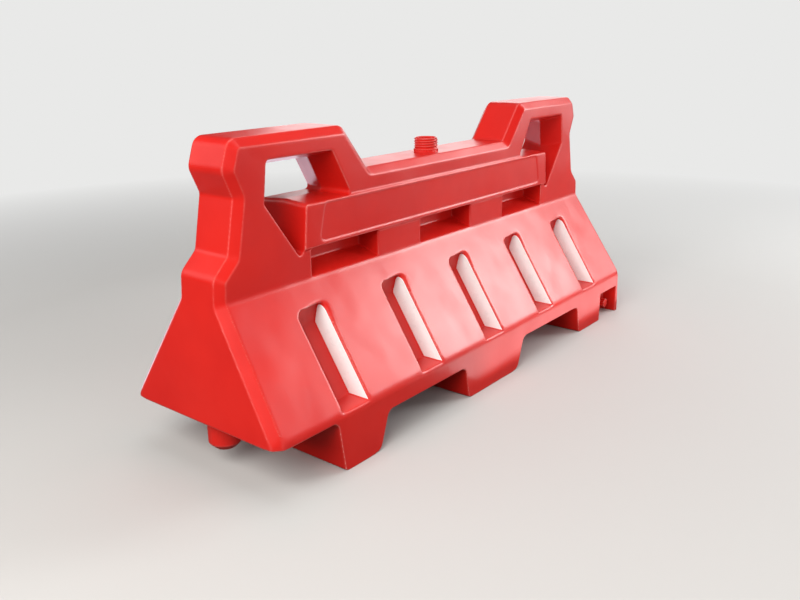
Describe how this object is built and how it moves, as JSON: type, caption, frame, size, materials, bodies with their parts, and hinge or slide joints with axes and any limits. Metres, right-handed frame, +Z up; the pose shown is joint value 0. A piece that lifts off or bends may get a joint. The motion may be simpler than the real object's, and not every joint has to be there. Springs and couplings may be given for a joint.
{
  "type": "water-filled road barrier",
  "caption": "Red hollow plastic road barrier with sloped base, loop handles, slope reflectors, filler neck, drain plug, and a peg and socket to couple it to the next.",
  "frame": {"origin": "on the floor, under the middle of the base", "axes": "+X along the barrier towards the tongue and socket, -Y towards the front with the drain notch, +Z up"},
  "size_m": [1.6488, 0.44, 0.67],
  "materials": {
    "red_polyethylene": "semi-gloss rotationally moulded polyethylene",
    "reflective_white": "smooth retroreflective sheet on a thin plate",
    "black_rubber": "moulded rubber"
  },
  "bodies": {
    "body": {"barrier_body": "red_polyethylene", "filler_neck": "red_polyethylene", "drain_bush": "red_polyethylene", "reflector_front_1": "reflective_white", "reflector_front_2": "reflective_white", "reflector_front_3": "reflective_white", "reflector_front_4": "reflective_white", "reflector_front_5": "reflective_white", "reflector_back_1": "reflective_white", "reflector_back_2": "reflective_white", "reflector_back_3": "reflective_white", "reflector_back_4": "reflective_white", "reflector_back_5": "reflective_white"},
    "seal": {"drain_seal": "black_rubber"},
    "plug": {"drain_plug": "red_polyethylene"}
  },
  "joints": [
    {"name": "drain_slide", "type": "slide", "parent": "body", "child": "seal", "axis": [0, -1, 0], "range_m": [0, 0.028]},
    {"name": "drain_turn", "type": "hinge", "parent": "seal", "child": "plug", "pos_m": [0.69, -0.185, 0.032], "axis": [0, -1, 0], "range_deg": [0, 2520]}
  ],
  "couplings": [
    {"joint": "drain_slide", "follows": "drain_turn", "m_per_rad": 0.00063662}
  ]
}
